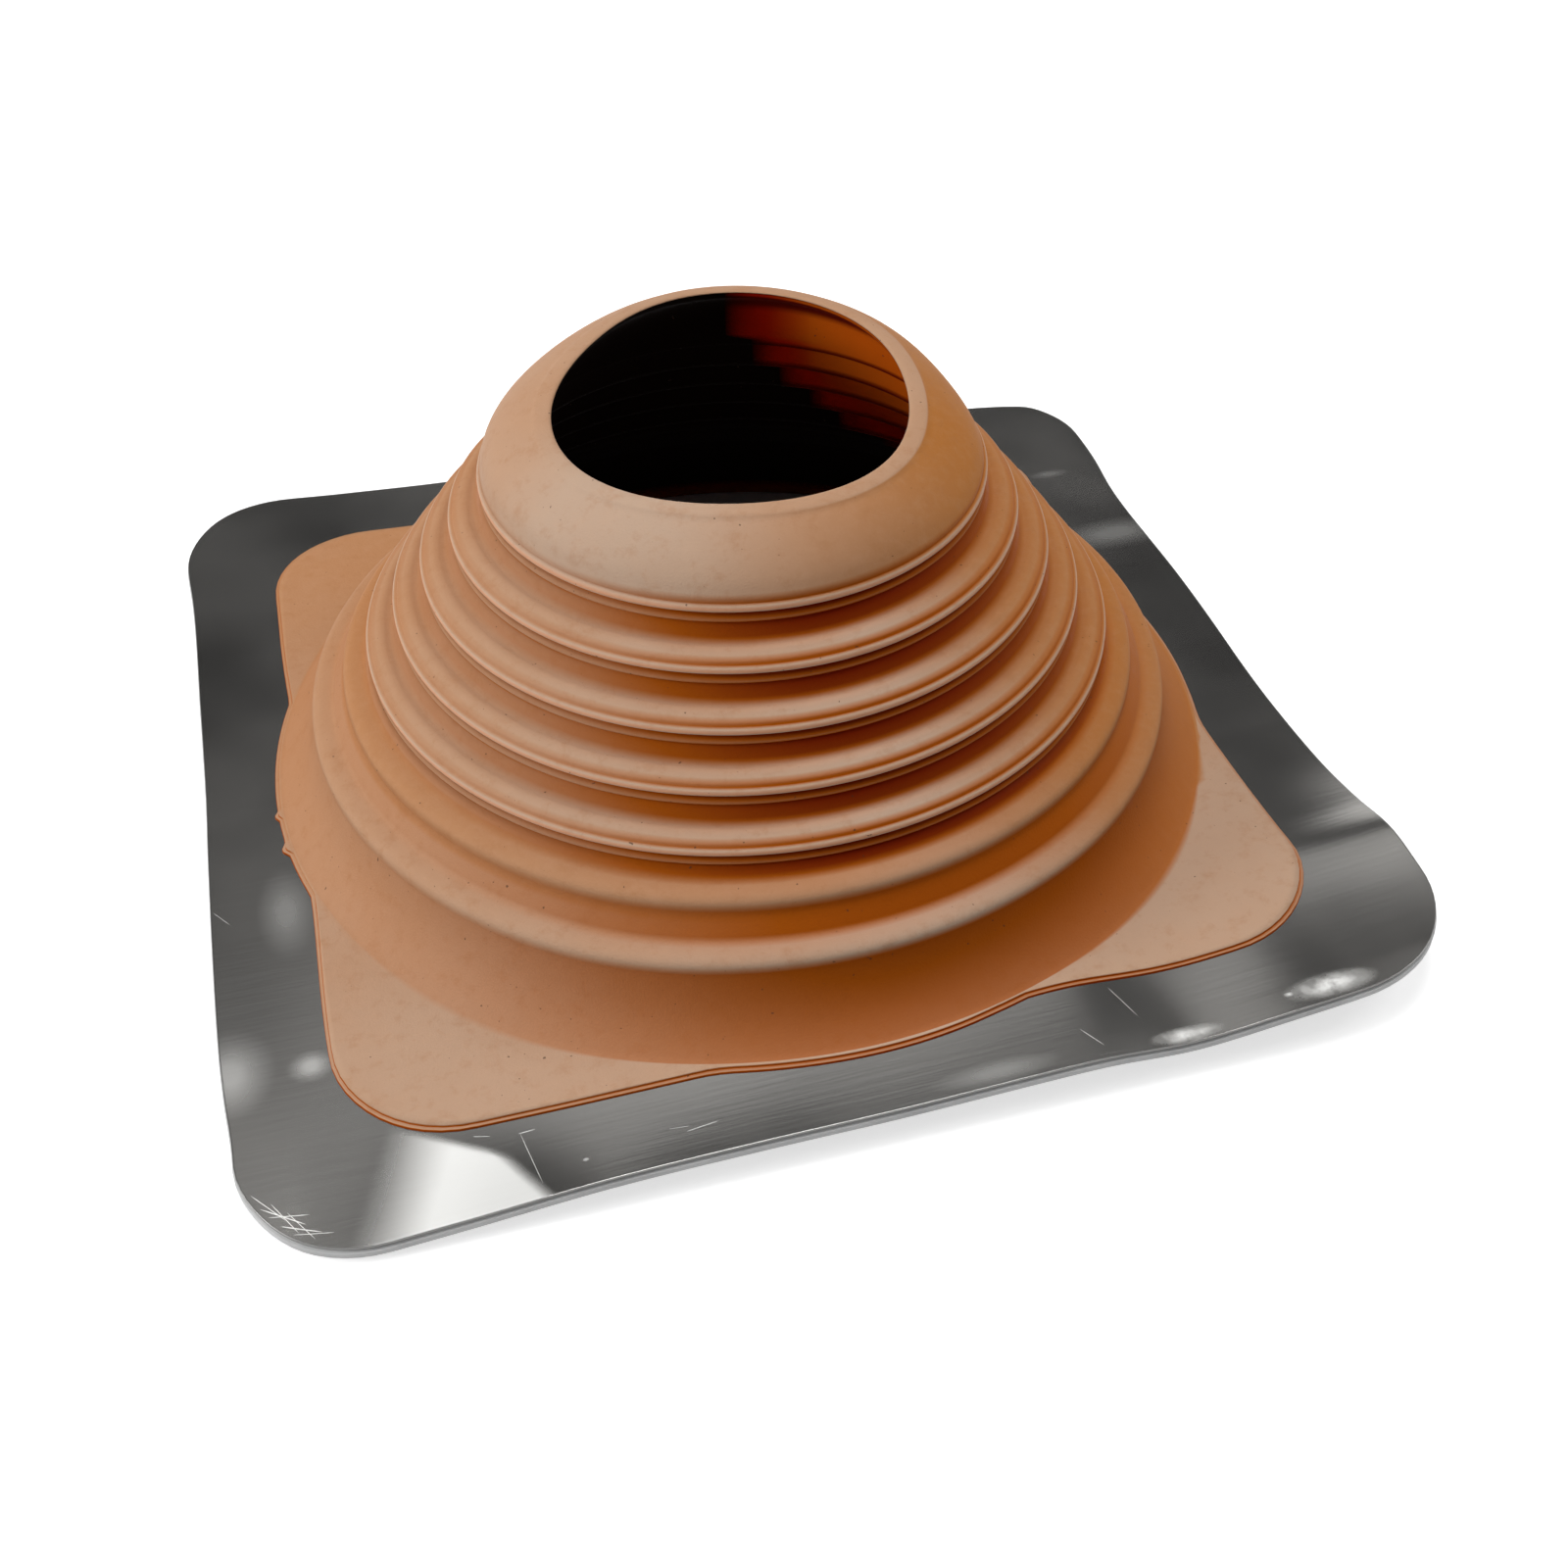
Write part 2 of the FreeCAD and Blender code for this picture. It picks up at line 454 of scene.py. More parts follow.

# The painted light on its open faces, a pale painted sheen by direction, lightest where the lamps light it:
# on the shelves, on the dome and on the flange
shelf_painted_light = [
    (0.0, 0.1), (90.0, 0.25), (180.0, 0.45), (200.0, 0.56), (215.0, 0.64), (230.0, 0.74), (245.0, 0.78),
    (257.0, 0.82), (270.0, 0.90), (285.0, 0.95), (300.0, 0.60), (313.0, 0.24), (345.0, 0.14), (360.0, 0.1),
]
dome_painted_light = [
    (0.0, 0.06), (30.0, 0.22), (60.0, 0.4), (90.0, 0.5), (180.0, 0.65), (200.0, 0.8), (215.0, 1.0),
    (230.0, 1.0), (245.0, 0.95), (257.0, 0.75), (270.0, 0.55), (285.0, 0.35), (300.0, 0.2), (315.0, 0.08),
    (335.0, 0.0), (360.0, 0.06),
]
flange_painted_light = [
    (0.0, 0.75), (60.0, 0.55), (100.0, 0.4), (135.0, 0.32), (165.0, 0.5), (200.0, 0.66), (225.0, 0.75),
    (310.0, 0.82), (360.0, 0.75),
]

# The upper roll's painted light, against a shelf's
roll_painted_light = 0.55

# The least painted light on the rim, and how far down its face goes
rim_painted_light = 0.6
rim_face = 0.9

# What a bead's crest has instead of that painted light: above 1, a light, warm painted highlight
crest_painted_light = 2.0

# A painted shadow inside, below the rim: the depths over which it sets in from below, and those
# over which it ends above
rim_shadow_foot = (11, 7)
rim_shadow_top = (2.2, 1.4)

# Painted shadow inside the cone: everywhere but on the right, where the left lamp lights the wall,
# and there up to a height that rises towards the back: (direction, height)
painted_shadow_line = [
    (0.0, 30.0), (20.0, 34.0), (40.0, 46.0), (53.0, 62.0), (57.0, 75.0), (63.0, 89.0), (68.0, 102.0),
    (75.0, 115.0), (82.0, 130.0), (92.0, 150.0), (310.0, 150.0), (340.0, 70.0), (360.0, 30.0),
]
painted_shadow_soft = 13.0

# How far over that line the wall is a deep red painted half shadow before it turns to the orange painted lit
# wall
half_shadow_reach = 55.0

# What each point of the boot's mesh keeps: the painted shade of a recess, the painted light on open
# faces and crests, 1 inside the cone, and the painted shadow there
boot_shares = ("recess_shade", "painted_light", "inside", "painted_shadow")

# The height at which the dome starts, and the radii between which the upper roll lies
dome_foot = bead_place(0)[1] + 1
upper_roll = (bead_place(tier_count - 1)[0] + 1, roll_place(0)[0] + 1)


def riser_middle(height):
    """The middle height of the inner riser, or of the dome, that a height inside lies on."""
    foot = bead_place(tier_count - 1)[1] + 1
    step = min(floor((height - foot) / tier_step_down), tier_count - 1)
    return foot + (step + 0.5) * tier_step_down


def rim_shadow(height):
    """1 in the painted shadow inside, below the rim."""
    foot = rise(height, rim_top - rim_shadow_foot[0], rim_top - rim_shadow_foot[1])
    return foot - rise(height, rim_top - rim_shadow_top[0], rim_top - rim_shadow_top[1])


class Direction:
    """One direction round the pipe's axis, with what holds there from the rim to the flange."""

    def __init__(self, angle):
        turn = degrees(angle) % 360
        self.angle = angle
        self.mouth_out, self.mouth_up = mouth_shift(angle)
        self.sway = dome_sway * cos(angle - radians(dome_sway_toward))
        self.flange = flange_reach(angle)
        self.deep = follow(painted_shade_by_direction, turn)
        self.shelf_painted_light = follow(shelf_painted_light, turn)
        self.dome_painted_light = follow(dome_painted_light, turn)
        self.flange_painted_light = follow(flange_painted_light, turn)
        self.painted_shadow_line = follow(painted_shadow_line, turn)

    def place(self, radius, height):
        """Where a point of the true boot goes: the mouth is out of true, and the base is bent."""
        hold = rise(height, dome_foot, rim_top) if radius < first_bead_radius else 0.0
        radius += self.mouth_out * hold + self.sway * (4 * hold * (1 - hold))
        x, y, lift = bend(radius * cos(self.angle), radius * sin(self.angle))
        return x, y, height + self.mouth_up * hold + lift

    def open_painted_light(self, radius, height):
        """The painted light on an open face."""
        if radius > flange_start:
            return self.flange_painted_light
        if upper_roll[0] < radius < upper_roll[1]:
            return self.shelf_painted_light * roll_painted_light
        if height > rim_top - rim_face:
            return max(self.dome_painted_light, rim_painted_light)
        return self.dome_painted_light if height > dome_foot else self.shelf_painted_light

    def outside(self, radius, height, shade):
        """A point of the outside, with its shares."""
        dark = max(shade, 0.0)
        sharp, least = flange_groove if radius > flange_start else cone_groove
        deep = max(self.deep, least) if dark > sharp else self.deep
        # Painted light on open faces, taken away by painted shade in recesses; crests get a painted
        # highlight
        painted_light = self.open_painted_light(radius, height)
        painted_light *= (1 - dark * min(shade_clears_light * deep, 1.0)) ** painted_light_fade
        painted_light += (crest_painted_light - painted_light) * max(-shade, 0.0)
        return (*self.place(radius, height), dark * deep, painted_light, 0.0, 0.0)

    def inside(self, radius, height, shade):
        """A point of the inside, with its shares."""
        # Painted shadow inside except where the left lamp lights the wall, and painted shadow under the rim
        # and ledges
        over = riser_middle(height) - self.painted_shadow_line
        clear = (rise(over, -painted_shadow_soft, painted_shadow_soft) + rise(over, painted_shadow_soft, half_shadow_reach)) / 2
        return (*self.place(radius, height), max(shade, rim_shadow(height)), 0.0, 1.0, 1 - clear)

    def over_flange(self, share):
        """The radius at a share of the way from the skirt's foot to the land."""
        return skirt_radius + 0.1 + max(self.flange - skirt_radius, 0.3) * share

    def over_land(self, share):
        """The radius at a share of the land's width."""
        return max(self.flange, skirt_radius + 0.4) + share * land_width


def boot_directions():
    """Even directions, with more of them across each nub."""
    turns = [360.0 * step / boot_turns for step in range(boot_turns)]
    for place, width, length in nubs:
        turns += [place + width * share for share in nub_turns]
    return [Direction(radians(turn)) for turn in sorted(set(turns))]


# Meshes


def make_rings(name, rings, shares=()):
    """A closed mesh skinned over equally long rings of points, with named shares after x, y, z."""
    count = len(rings[0])
    points = [tuple(value * MM for value in point[:3]) for ring in rings for point in ring]
    faces = []
    for row in range(len(rings)):
        here, there = row * count, (row + 1) % len(rings) * count
        for column in range(count):
            beside = (column + 1) % count
            faces.append((here + column, here + beside, there + beside, there + column))
    mesh = bpy.data.meshes.new(name)
    piece = bpy.data.objects.new(name, mesh)
    mesh.from_pydata(points, [], faces)
    mesh.shade_smooth()
    for place, share in enumerate(shares, 3):
        layer = mesh.attributes.new(share, "FLOAT", "POINT")
        layer.data.foreach_set("value", [point[place] for ring in rings for point in ring])
    mesh.update()
    bpy.context.scene.collection.objects.link(piece)
    return piece


# Shares of the way over the flange's flat face at which it has a ring
flange_shares = (0.06, 0.2, 0.4, 0.6, 0.8, 0.93, 1.0)
flange_fall = 0.1

# The flange's edge, from its flat face down over the land: (share of its width, height, shade)
land_steps = [
    (0.12, flange_top - 0.4, 0.5), (0.16, land_top + 0.1, 0.9), (0.30, land_top, 0.4),
    (0.82, land_top, 0.1), (0.95, land_top - 0.15, 0.85), (1.0, land_top - 0.4, 0.85), (1.0, sheet_top, 0.8),
]

# The sleeve's corners below the flange: (radius, height)
sleeve_steps = [(sleeve_outer, sheet_top), (sleeve_outer, sleeve_lift), (sleeve_inner, sleeve_lift)]


def boot_rings():
    ways = boot_directions()
    rings = [[way.outside(*point) for way in ways] for point in outside_points()]
    for share in flange_shares:
        height = flange_top - flange_fall * share
        rings.append([way.outside(way.over_flange(share), height, 0.0) for way in ways])
    for share, height, shade in land_steps:
        rings.append([way.outside(way.over_land(share), height, shade) for way in ways])
    for radius, height in sleeve_steps:
        rings.append([way.outside(radius, height, 1.0) for way in ways])
    return rings + [[way.inside(*point) for way in ways] for point in inside_points()]


class Layer:
    """A flat layer with a round hole and a rounded square outline, bent with the base.

    Rings that are added while cut is 1 lie on its cut edge.
    """

    def __init__(self, side, corner, low, high):
        self.angles = [radians(360.0 * step / layer_turns) for step in range(layer_turns)]
        self.side, self.corner = side, corner
        self.low, self.high = low, high
        self.cut = 0.0
        self.rings = []

    def add(self, reach_at, height):
        points = []
        for angle in self.angles:
            radius = reach_at(angle)
            x, y, lift = bend(radius * cos(angle), radius * sin(angle))
            points.append((x, y, height + lift, self.cut))
        self.rings.append(points)

    def outline(self, inset):
        """How far the layer reaches in a direction, inside its outline by inset."""
        return lambda angle: square_reach(angle, self.side - 2 * inset, self.corner - inset)

    def inset(self, inset, height):
        """A ring that runs inside the outline by inset."""
        self.add(self.outline(inset), height)

    def span(self, inset, shares, height):
        """Rings that lead from the hole, at share 0, out to inside the outline by inset."""
        outline = self.outline(inset)
        for share in shares:
            self.add(lambda angle: hole_radius + share * (outline(angle) - hole_radius), height)


def sheet_rings():
    """The sheet, with a small bevel round both faces of its cut edge."""
    layer = Layer(base_side - 2 * sheet_inset, base_corner - sheet_inset, gasket_thickness, sheet_top)
    shares = [step / 36 for step in range(36)]
    layer.span(0.6, shares, layer.high)
    layer.inset(0.45, layer.high)
    layer.cut = 1.0
    layer.inset(sheet_bevel, layer.high)
    layer.inset(0.0, layer.high - sheet_bevel)
    layer.inset(0.0, layer.high - 0.35)
    layer.inset(0.0, layer.low + sheet_bevel)
    layer.inset(sheet_bevel, layer.low)
    layer.cut = 0.0
    layer.span(2 * sheet_bevel, reversed(shares), layer.low)
    return layer.rings


def gasket_rings():
    """The gasket, with a step under the sheet's edge, a chamfer and sealing grooves below."""
    layer = Layer(base_side, base_corner, 0.0, gasket_thickness)
    layer.span(1.0, [step / 24 for step in range(24)], layer.high)
    layer.inset(0.9, layer.high)
    layer.inset(0.8, layer.high - 0.6)
    layer.inset(0.2, layer.high - 0.7)
    layer.inset(0.0, layer.high - 0.9)
    layer.inset(0.0, gasket_chamfer)
    layer.inset(gasket_chamfer, layer.low)
    for groove in range(rib_groove_count):
        inset = rib_margin + groove * rib_groove_pitch
        layer.inset(inset, layer.low)
        layer.inset(inset + 0.1, rib_groove_depth)
        layer.inset(inset + rib_groove_width - 0.1, rib_groove_depth)
        layer.inset(inset + rib_groove_width, layer.low)
    layer.span(inset + rib_groove_width, [step / 12 for step in reversed(range(12))], layer.low)
    return layer.rings


def dress(piece, node, material):
    piece.data.materials.append(material)
    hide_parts(node)
    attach(piece, "root")


# Materials


class Graph:
    """A tree of shader nodes, built node by node."""

    def __init__(self, tree):
        self.tree = tree

    def add(self, kind, **settings):
        node = self.tree.nodes.new(kind)
        for name, value in settings.items():
            setattr(node, name, value)
        return node

    def link(self, source, target):
        self.tree.links.new(source, target)

    def feed(self, value, socket):
        """Give a socket a number, a triple, or what another node makes."""
        if isinstance(value, (int, float)):
            socket.default_value = value
        elif isinstance(value, tuple):
            socket.default_value = value if len(socket.default_value) == 3 else (*value, 1.0)
        else:
            self.link(value, socket)

    def spread(self, source, low, high, to_low=0.0, to_high=1.0):
        node = self.add("ShaderNodeMapRange")
        node.inputs["From Min"].default_value = low
        node.inputs["From Max"].default_value = high
        node.inputs["To Min"].default_value = to_low
        node.inputs["To Max"].default_value = to_high
        self.link(source, node.inputs["Value"])
        return node.outputs["Result"]

    def combine(self, operation, a, b):
        node = self.add("ShaderNodeMath", operation=operation)
        self.feed(a, node.inputs[0])
        self.feed(b, node.inputs[1])
        return node.outputs["Value"]

    def vector(self, operation, a, b, output="Vector"):
        node = self.add("ShaderNodeVectorMath", operation=operation)
        self.feed(a, node.inputs[0])
        self.feed(b, node.inputs[1])
        return node.outputs[output]

    def length(self, way):
        return self.vector("LENGTH", way, (0.0, 0.0, 0.0), "Value")

    def blend(self, share, low, high):
        node = self.add("ShaderNodeMix", data_type="RGBA")
        self.feed(share, node.inputs[0])
        self.feed(low, node.inputs[6])
        self.feed(high, node.inputs[7])
        return node.outputs[2]

    def any_of(self, shares):
        """The largest of several shares."""
        most = shares[0]
        for share in shares[1:]:
            most = self.combine("MAXIMUM", most, share)
        return most

    def ramp(self, source, stops):
        """A grey level that follows (position, level) stops."""
        node = self.add("ShaderNodeValToRGB")
        self.link(source, node.inputs[0])
        elements = node.color_ramp.elements
        elements[0].position, elements[1].position = stops[0][0], stops[-1][0]
        for position, _ in stops[1:-1]:
            elements.new(position)
        for element, (_, level) in zip(elements, stops):
            element.color = (level, level, level, 1.0)
        return node.outputs["Color"]

    def seen_or_mirrored(self):
        """1 for what the camera sees, in a mirror or through glass too, and 0 for plain light."""
        path = self.add("ShaderNodeLightPath")
        rays = ("Is Camera Ray", "Is Glossy Ray", "Is Transmission Ray")
        return self.any_of([path.outputs[name] for name in rays])


class Shader(Graph):
    """A node material."""

    def __init__(self, name):
        self.material = bpy.data.materials.new(name)
        self.material.use_nodes = True
        super().__init__(self.material.node_tree)
        self.surface = self.tree.nodes["Principled BSDF"]
        self.place = self.add("ShaderNodeTexCoord").outputs["Object"]

    def share(self, name):
        """What the mesh's points keep under a name."""
        return self.add("ShaderNodeAttribute", attribute_name=name).outputs["Fac"]

    def noise(self, scale, detail=3.0, rough=0.55, stretch=None, turn=0.0):
        node = self.add("ShaderNodeTexNoise")
        node.inputs["Scale"].default_value = scale
        node.inputs["Detail"].default_value = detail
        node.inputs["Roughness"].default_value = rough
        source = self.place
        if stretch:
            mapping = self.add("ShaderNodeMapping")
            mapping.inputs["Rotation"].default_value = (0.0, 0.0, radians(turn))
            mapping.inputs["Scale"].default_value = stretch
            self.link(self.place, mapping.inputs["Vector"])
            source = mapping.outputs["Vector"]
        self.link(source, node.inputs["Vector"])
        return node.outputs["Fac"]

    def bump(self, height, distance, strength=1.0, under=None):
        node = self.add("ShaderNodeBump")
        node.inputs["Distance"].default_value = distance
        node.inputs["Strength"].default_value = strength
        self.link(height, node.inputs["Height"])
        if under:
            self.link(under, node.inputs["Normal"])
        return node.outputs["Normal"]

    def from_place(self, x, y):
        """The way from a place on the base, given in millimetres, to here."""
        flat = self.vector("MULTIPLY", self.place, (1.0, 1.0, 0.0))
        return self.vector("SUBTRACT", flat, (x * MM, y * MM, 0.0))

    def spot(self, x, y, wide, deep):
        """1 in the middle of an oval place on the base, fading to 0 at its rim."""
        way = self.vector("MULTIPLY", self.from_place(x, y), (1 / (wide * MM), 1 / (deep * MM), 0.0))
        return self.spread(self.length(way), 1.0, 0.2)

    def past(self, x, y, direction, soft):
        """0 before a straight line through a place on the base, 1 past it, in a direction."""
        across = (cos(radians(direction)), sin(radians(direction)), 0.0)
        reach = self.vector("DOT_PRODUCT", self.from_place(x, y), across, "Value")
        return self.spread(reach, 0.0, soft * MM)

    def scratch(self, start, end, width):
        """1 on a straight scratch between two places on the base, in millimetres."""
        length = hypot(end[0] - start[0], end[1] - start[1])
        along = ((end[0] - start[0]) / length, (end[1] - start[1]) / length, 0.0)
        middle = self.from_place((start[0] + end[0]) / 2, (start[1] + end[1]) / 2)
        reach = self.vector("DOT_PRODUCT", middle, along, "Value")
        aside = self.vector("DOT_PRODUCT", middle, (-along[1], along[0], 0.0), "Value")
        ends = self.spread(self.combine("ABSOLUTE", reach, 0.0), length * 0.5 * MM, length * 0.3 * MM)
        line = self.spread(self.combine("ABSOLUTE", aside, 0.0), width * MM, 0.0)
        return self.combine("MULTIPLY", ends, line)

    def finish(self, colour, roughness, normal):
        self.link(colour, self.surface.inputs["Base Color"])
        self.link(roughness, self.surface.inputs["Roughness"])
        self.link(normal, self.surface.inputs["Normal"])
        return self.material


def rubber():
    """Matt terracotta rubber, with painted light: a pale painted sheen on open faces, a painted highlight
    on bead crests, painted deep orange shade in the grooves, and a painted lit wall and shadow inside.
    """
    shader = Shader("terracotta_rubber")
    # Painted light: the pale tone is a painted sheen, the crest tone a painted highlight
    rich, painted_pale_light, crest_highlight = (0.36, 0.135, 0.03), (0.43, 0.30, 0.215), (0.64, 0.29, 0.155)
    dusty, smudged, specked = (0.52, 0.32, 0.20), (0.31, 0.135, 0.055), (0.05, 0.03, 0.02)
    # Painted shade in the recesses, half and full
    half_shade_orange, deep = (0.325, 0.072, 0.003), (0.18, 0.007, 0.0)
    # Inside: a painted lit wall, painted shadow under the ledges, a red painted half shadow and black
    # painted shadow
    lit, ledge_shadow = (0.50, 0.085, 0.003), (0.10, 0.003, 0.0)
    half_shadow_red, shadow_black = (0.42, 0.010, 0.0), (0.002, 0.0005, 0.0)
    shader.surface.inputs["Specular IOR Level"].default_value = 0.03
    recess_shade, painted_light, inside, painted_shadow = [shader.share(name) for name in boot_shares]
    cloud = shader.noise(22.0, 3.0)
    grain = shader.noise(1500.0, 2.0)
    dust = shader.noise(260.0, 4.0, 0.7)
    smudge = shader.noise(170.0, 5.0, 0.7)
    speck = shader.noise(620.0, 1.0)
    # Painted sheen on open faces, broken up at random
    patchy_light = shader.combine("MULTIPLY", painted_light, shader.spread(cloud, 0.3, 0.6, 0.9, 1.08))
    tone = shader.blend(patchy_light, rich, painted_pale_light)
    tone = shader.blend(shader.spread(dust, 0.45, 0.75, 0.0, 0.12), tone, dusty)
    tone = shader.blend(shader.spread(smudge, 0.52, 0.70, 0.0, 0.30), tone, smudged)
    tone = shader.blend(shader.spread(painted_light, 1.0, crest_painted_light, 0.0, 0.8), tone, crest_highlight)
    tone = shader.blend(shader.spread(recess_shade, 0.0, 0.5), tone, half_shade_orange)
    tone = shader.blend(shader.spread(recess_shade, 0.5, 1.0), tone, deep)
    # The painted lit wall fading to painted shadow, with painted shadow under the ledges
    inner = shader.blend(shader.spread(painted_shadow, 0.0, 0.5), lit, half_shadow_red)
    inner = shader.blend(recess_shade, inner, ledge_shadow)
    inner = shader.blend(shader.spread(painted_shadow, 0.5, 0.9), inner, shadow_black)
    tone = shader.blend(inside, tone, inner)
    tone = shader.blend(shader.spread(speck, 0.77, 0.79, 0.0, 0.7), tone, specked)
    roughness = shader.spread(dust, 0.3, 0.7, 0.46, 0.60)
    roughness = shader.combine("MAXIMUM", roughness, inside)
    normal = shader.bump(grain, 0.00012)
    normal = shader.bump(cloud, 0.0012, 0.5, normal)
    return shader.finish(tone, roughness, normal)


# Scratches in the sheet's margin: (one end, the other end, width)
scratches = [
    ((-100.5, -152.0), (-97.0, -173.5), 0.13), ((-101.0, -153.0), (-96.0, -152.8), 0.20),
    ((-58.0, -167.0), (-48.0, -165.7), 0.20), ((-62.0, -164.5), (-56.0, -165.2), 0.10),
    ((70.5, -149.5), (74.0, -163.5), 0.12), ((56.0, -163.5), (60.0, -172.0), 0.16),
    ((-172.0, -152.0), (-163.0, -163.0), 0.16), ((-170.0, -157.0), (-158.0, -165.5), 0.20),
    ((-168.0, -160.5), (-157.0, -162.5), 0.16), ((-167.0, -156.0), (-160.0, -168.0), 0.13),
    ((-165.0, -164.0), (-154.0, -169.0), 0.20), ((-163.0, -160.0), (-156.0, -171.0), 0.12),
    ((-162.0, -167.5), (-151.0, -170.0), 0.14), ((-171.0, -160.0), (-165.0, -168.0), 0.16),
    ((-177.0, -45.0), (-172.0, -52.0), 0.10), ((-113.0, -150.0), (-108.0, -151.5), 0.12),
]

# Painted highlights on the sheet, glints and soft reflections of the lamps: (x, y, size along x, size along
# y, strength)
painted_glints = [
    (129.0, -170.5, 15.0, 5.5, 0.95), (84.0, -174.0, 12.0, 3.6, 0.9), (116.5, -170.0, 2.0, 1.2, 0.9),
    (-175.0, -110.0, 13.0, 17.0, 0.35), (-153.0, -113.0, 7.0, 6.0, 0.35), (-155.5, -51.0, 9.0, 20.0, 0.22),
    (-85.0, -168.0, 1.1, 0.8, 0.7), (166.0, 66.0, 26.0, 10.0, 0.25), (156.0, 111.0, 9.0, 3.0, 0.16),
    (28.0, -172.0, 20.0, 5.0, 0.25),
]

# From which strength on a painted highlight looks ragged
ragged_from = 0.5

# The large painted highlight at the front left, a reflection of the light, is a wedge that opens
# outward: a place on each of its sides, the direction into it, and how softly that side fades
wedge_sides = [(-104.0, -158.0, 237.0, 3.0), (-103.0, -160.0, 208.0, 4.0), (-140.0, -153.0, -21.0, 20.0)]
wedge_strength = 0.85


def scratches_and_highlights(shader):
    """1 on painted highlights where the sheet catches the light and on scratches, and less where that is
    faint.
    """
    ragged = shader.spread(shader.noise(260.0, 4.0, 0.75), 0.35, 0.6, 0.5, 1.0)
    wedge = wedge_strength
    for x, y, direction, soft in wedge_sides:
        wedge = shader.combine("MULTIPLY", shader.past(x, y, direction, soft), wedge)
    marks_and_highlights = [wedge]
    for x, y, wide, deep, strength in painted_glints:
        spot = shader.combine("MULTIPLY", shader.spot(x, y, wide, deep), strength)
        marks_and_highlights.append(shader.combine("MULTIPLY", spot, ragged) if strength >= ragged_from else spot)
    marks_and_highlights += [shader.scratch(*scratch) for scratch in scratches]
    hairs = shader.noise(45.0, 2.0, 0.5, (1.0, 60.0, 1.0), 63.0)
    marks_and_highlights.append(shader.spread(hairs, 0.78, 0.80, 0.0, 0.15))
    return shader.any_of(marks_and_highlights)


def aluminium():
    """Mill finish sheet with a faint rolling grain, scratches, painted highlights where it catches the
    light, and a dull cut edge.
    """
    shader = Shader("mill_aluminium")
    light, shaded = (0.50, 0.488, 0.468), (0.46, 0.447, 0.425)
    dulled, highlight_and_scratch_tone, sheared = (0.41, 0.395, 0.372), (0.84, 0.84, 0.82), (0.22, 0.217, 0.212)
    shader.surface.inputs["Metallic"].default_value = 1.0
    wave = shader.noise(9.0, 1.0)
    grain = shader.noise(30.0, 4.0, 0.65, (1.0, 25.0, 1.0), 8.0)
    dull = shader.noise(14.0, 2.0)
    marks_and_highlights = scratches_and_highlights(shader)
    cut = shader.share("cut")
    tone = shader.blend(shader.spread(grain, 0.3, 0.7), light, shaded)
    tone = shader.blend(shader.spread(dull, 0.35, 0.65, 0.0, 0.4), tone, dulled)
    # One pale tone for the painted highlights and the scratches
    tone = shader.blend(marks_and_highlights, tone, highlight_and_scratch_tone)
    tone = shader.blend(cut, tone, sheared)
    roughness = shader.spread(dull, 0.35, 0.65, 0.16, 0.22)
    roughness = shader.combine("ADD", roughness, shader.spread(marks_and_highlights, 0.0, 1.0, 0.0, 0.40))
    roughness = shader.combine("MAXIMUM", roughness, shader.spread(cut, 0.0, 1.0, 0.0, 0.4))
    normal = shader.bump(grain, 0.000015)
    normal = shader.bump(wave, 0.003, 0.18, normal)
    return shader.finish(tone, roughness, normal)


def grey_rubber():
    """The gasket: matt grey sheet rubber with a cut edge."""
    shader = Shader("grey_gasket_rubber")
    cloud = shader.noise(60.0, 3.0)
    grain = shader.noise(1800.0, 2.0)
    tone = shader.blend(shader.spread(cloud, 0.3, 0.7), (0.56, 0.56, 0.56), (0.46, 0.46, 0.46))
    roughness = shader.spread(cloud, 0.3, 0.7, 0.6, 0.75)
    return shader.finish(tone, roughness, shader.bump(grain, 0.0001))


# Studio

white = (1.0, 1.0, 1.0)

# The floor: half its side in metres, what it sends back of the lamps' light, and its own
# light, which sets in outside the hole over these distances
floor_reach = 60.0
floor_tone = 0.62
floor_glow = 0.62
floor_glow_span = (4, 14)

# The sky over the horizon, and the white below it: (position from nadir to zenith, level)
sky_stops = [(0.40, 0.25), (0.46, 0.04), (0.62, 0.05), (0.69, 0.09), (0.76, 0.28), (0.85, 0.38), (1.0, 0.45)]
white_stops = [(0.405, 1.0), (0.42, 0.0)]

# Softboxes: (name, azimuth, elevation, distance, width, height, power)
softboxes = [
    ("left_softbox", 182, 23, 1.6, 0.75, 0.6, 17.4),
    ("right_softbox", 3, 37, 1.7, 0.8, 0.7, 8.0),
    ("top_softbox", 80, 80, 1.6, 0.7, 0.7, 15.0),
    ("front_fill", 257, 25, 1.8, 0.7, 0.5, 2.0),
    ("back_card", 78, 46, 1.6, 0.8, 0.45, 0.6),
]
softbox_target = Vector((0, 0, 0.05))


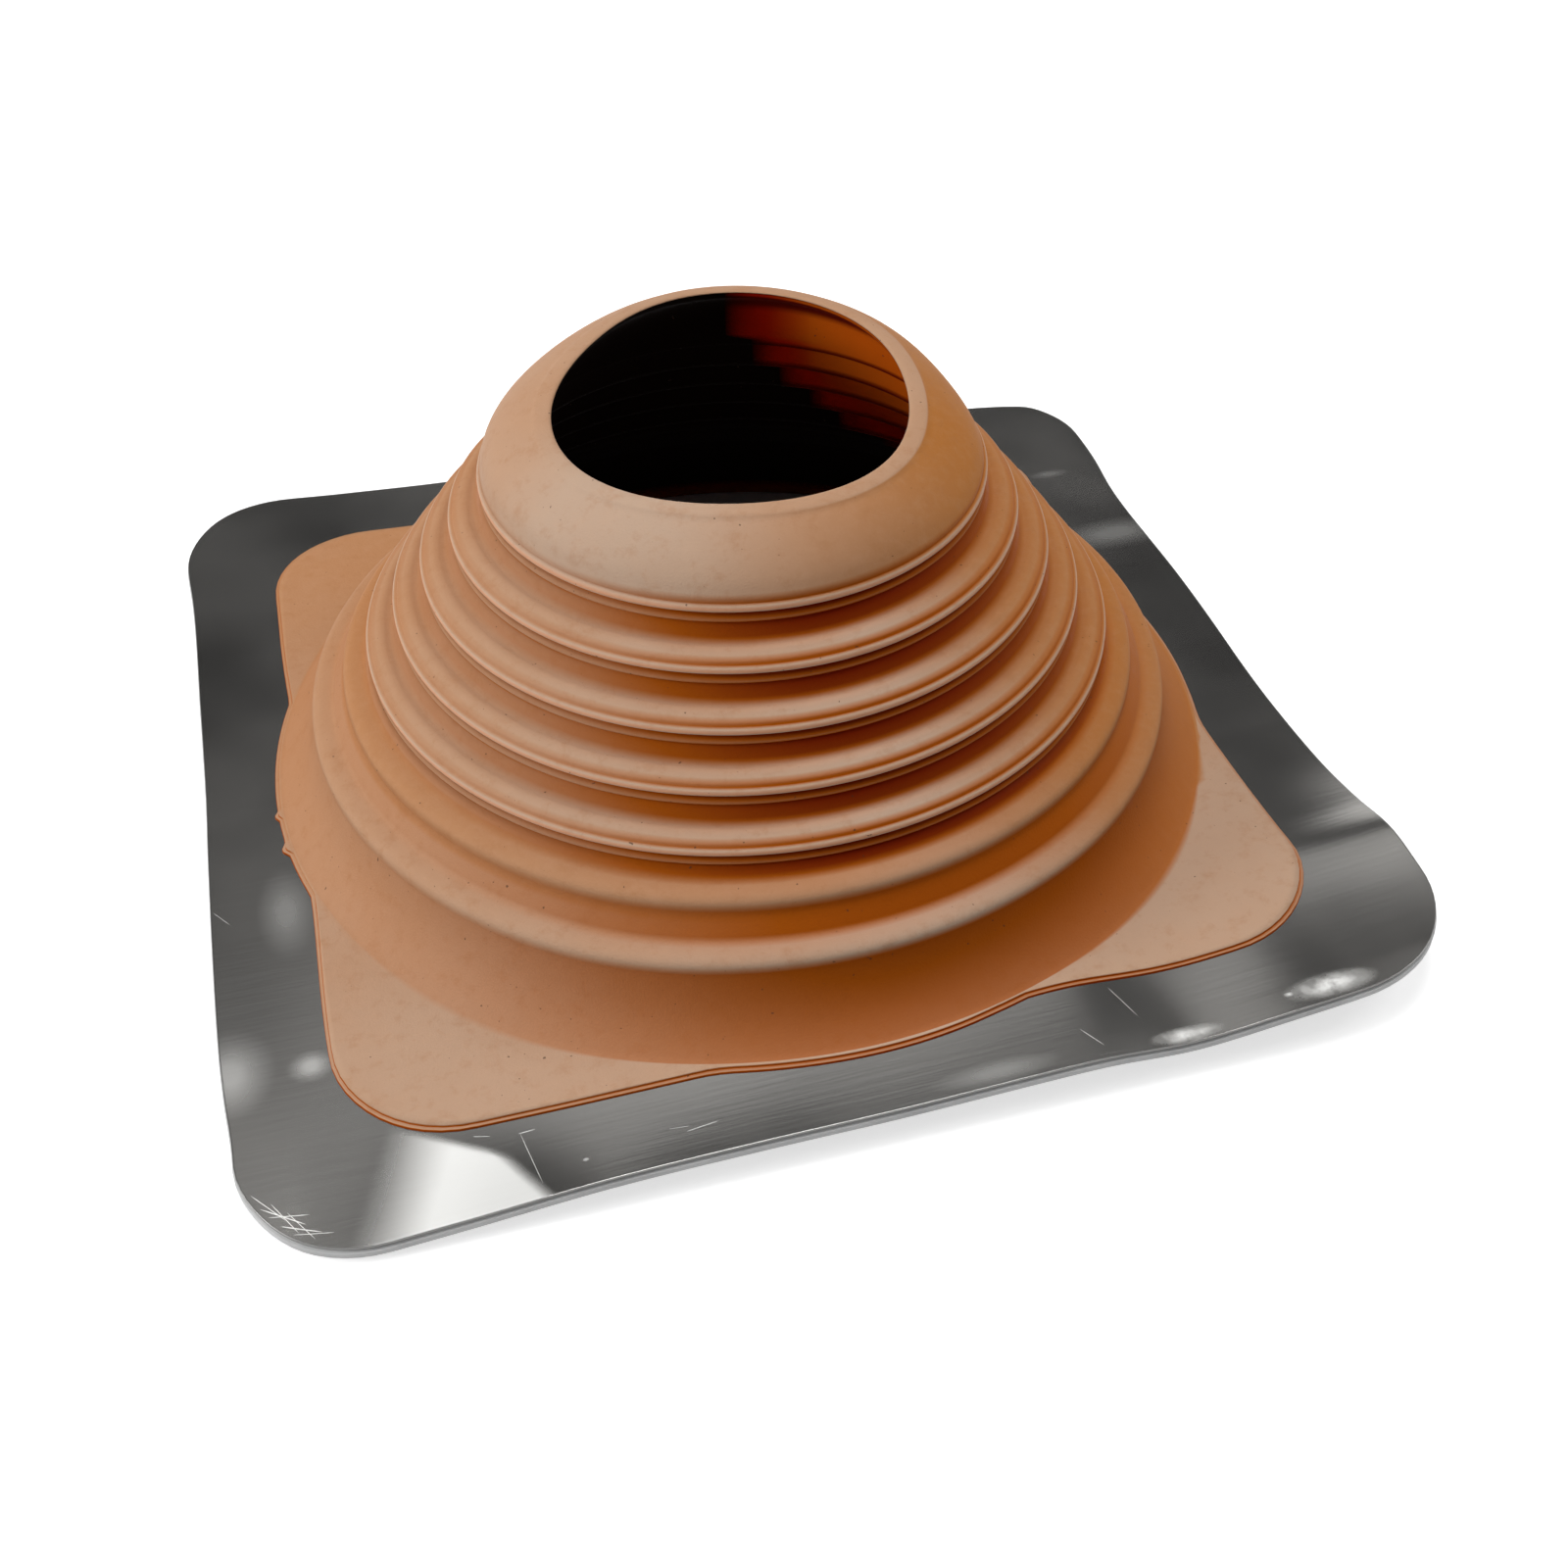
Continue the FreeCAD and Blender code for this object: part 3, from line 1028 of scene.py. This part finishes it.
def add_floor():
    """A wide white floor: white to the eye and in reflections, with the object's shadow kept."""
    side = floor_reach
    mesh = bpy.data.meshes.new("floor")
    corners = [(-side, -side, 0), (side, -side, 0), (side, side, 0), (-side, side, 0)]
    mesh.from_pydata(corners, [], [(0, 1, 2, 3)])
    floor = bpy.data.objects.new("floor", mesh)
    bpy.context.scene.collection.objects.link(floor)
    shader = Shader("floor")
    surface = shader.surface
    shader.feed((floor_tone, floor_tone, floor_tone), surface.inputs["Base Color"])
    shader.feed(1.0, surface.inputs["Roughness"])
    shader.feed(0.0, surface.inputs["Specular IOR Level"])
    shader.feed(white, surface.inputs["Emission Color"])
    low, high = [(hole_radius + reach) * MM for reach in floor_glow_span]
    outside = shader.spread(shader.length(shader.place), low, high, 0.0, floor_glow)
    strength = shader.combine("MULTIPLY", shader.seen_or_mirrored(), outside)
    shader.link(strength, surface.inputs["Emission Strength"])
    mesh.materials.append(shader.material)


def add_world():
    """White low down as far as any view looks, then a dim ceiling that brightens overhead."""
    world = bpy.data.worlds.new("studio")
    world.use_nodes = True
    graph = Graph(world.node_tree)
    place = graph.add("ShaderNodeTexCoord")
    split = graph.add("ShaderNodeSeparateXYZ")
    graph.link(place.outputs["Generated"], split.inputs[0])
    height = split.outputs["Z"]
    sky = graph.ramp(height, sky_stops)
    share = graph.combine("MULTIPLY", graph.seen_or_mirrored(), graph.ramp(height, white_stops))
    background = world.node_tree.nodes["Background"]
    graph.link(graph.blend(share, sky, white), background.inputs["Color"])
    bpy.context.scene.world = world


def add_softbox(name, azimuth, elevation, distance, width, height, power):
    """A softbox that faces the object from a direction given in degrees."""
    lamp = bpy.data.lights.new(name, "AREA")
    lamp.shape = "RECTANGLE"
    lamp.size, lamp.size_y = width, height
    lamp.energy = power
    holder = bpy.data.objects.new(name, lamp)
    a, e = radians(azimuth), radians(elevation)
    way = Vector((cos(a) * cos(e), sin(a) * cos(e), sin(e)))
    holder.location = way * distance + softbox_target
    holder.rotation_euler = way.to_track_quat("Z", "Y").to_euler()
    bpy.context.scene.collection.objects.link(holder)


def add_camera():
    camera = bpy.data.cameras.new("camera")
    camera.lens = 41.64
    camera.sensor_width = 36.0
    holder = bpy.data.objects.new("camera", camera)
    holder.location = (-0.1083, -0.4572, 0.4051)
    holder.rotation_euler = Euler((radians(47.40), radians(0.34), radians(-15.44)))
    bpy.context.scene.collection.objects.link(holder)
    bpy.context.scene.camera = holder


# The scene

boot = make_rings("boot", boot_rings(), boot_shares)
dress(boot, "rubber_boot", rubber())
boot.visible_glossy = False

sheet = make_rings("flange_sheet", sheet_rings(), ("cut",))
dress(sheet, "aluminium_flange", aluminium())

gasket = make_rings("gasket", gasket_rings())
dress(gasket, "base_gasket", grey_rubber())

add_floor()
add_world()
for softbox in softboxes:
    add_softbox(*softbox)
add_camera()

bpy.context.scene.view_settings.view_transform = "Standard"
